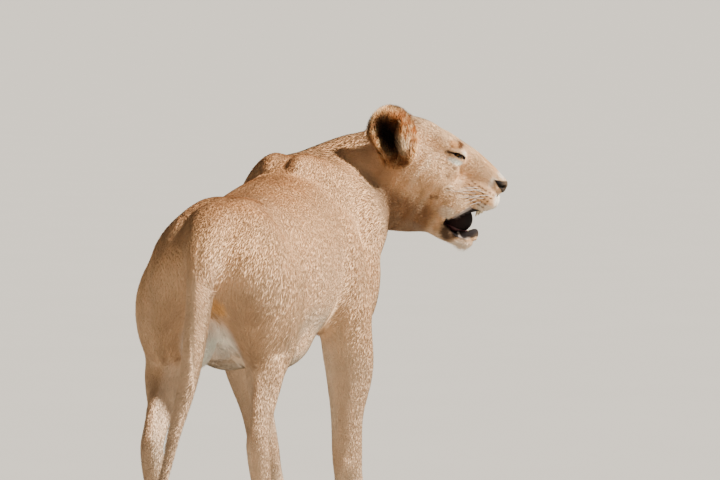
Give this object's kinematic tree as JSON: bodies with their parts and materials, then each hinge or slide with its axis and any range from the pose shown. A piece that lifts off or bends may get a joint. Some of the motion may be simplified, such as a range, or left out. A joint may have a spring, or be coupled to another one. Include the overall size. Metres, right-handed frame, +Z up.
{
  "type": "lioness",
  "caption": "Life-size lioness standing on four paws, tail hanging, neck bent and head turned to her right with the mouth open; a still figure with no joints.",
  "frame": {"origin": "on the floor, below the middle of the bounding box", "axes": "+Z up. The body faces -Y, so the tail is towards +Y, her left side towards +X and her right side towards -X. The head looks towards -X."},
  "size_m": [0.6994, 1.3172, 1.0329],
  "materials": {
    "head": "short, flat tawny fur",
    "lower_jaw": "short, flat cream fur",
    "ear_left": "short tawny fur, black on the back of the ear, longer fringe inside",
    "ear_right": "short tawny fur, black on the back of the ear, longer fringe inside",
    "neck": "short, flat tawny fur",
    "shoulders": "short, flat tawny fur",
    "barrel": "short, flat tawny fur",
    "haunches": "short, flat tawny fur",
    "foreleg_left": "short, flat tawny fur",
    "foreleg_right": "short, flat tawny fur",
    "forepaw_left": "short, flat cream fur",
    "forepaw_right": "short, flat cream fur",
    "shank_left": "short, flat tawny fur",
    "shank_right": "short, flat tawny fur",
    "hind_foot_left": "short, flat cream fur",
    "hind_foot_right": "short, flat cream fur",
    "tail_upper": "short, flat tawny fur",
    "tail_lower": "short, flat tawny fur",
    "tail_tuft": "tuft of longer dark brown hair",
    "eye_left": "wet, glossy amber eye",
    "eye_right": "wet, glossy amber eye",
    "tongue": "moist, rough pink tongue",
    "canine_upper_left": "smooth ivory enamel",
    "canine_upper_right": "smooth ivory enamel",
    "canine_lower_left": "smooth ivory enamel",
    "canine_lower_right": "smooth ivory enamel"
  },
  "bodies": {
    "root": {"head": "head", "lower_jaw": "lower_jaw", "ear_left": "ear_left", "ear_right": "ear_right", "neck": "neck", "shoulders": "shoulders", "barrel": "barrel", "haunches": "haunches", "foreleg_left": "foreleg_left", "foreleg_right": "foreleg_right", "forepaw_left": "forepaw_left", "forepaw_right": "forepaw_right", "shank_left": "shank_left", "shank_right": "shank_right", "hind_foot_left": "hind_foot_left", "hind_foot_right": "hind_foot_right", "tail_upper": "tail_upper", "tail_lower": "tail_lower", "tail_tuft": "tail_tuft", "eye_left": "eye_left", "eye_right": "eye_right", "tongue": "tongue", "canine_upper_left": "canine_upper_left", "canine_upper_right": "canine_upper_right", "canine_lower_left": "canine_lower_left", "canine_lower_right": "canine_lower_right"}
  },
  "joints": []
}
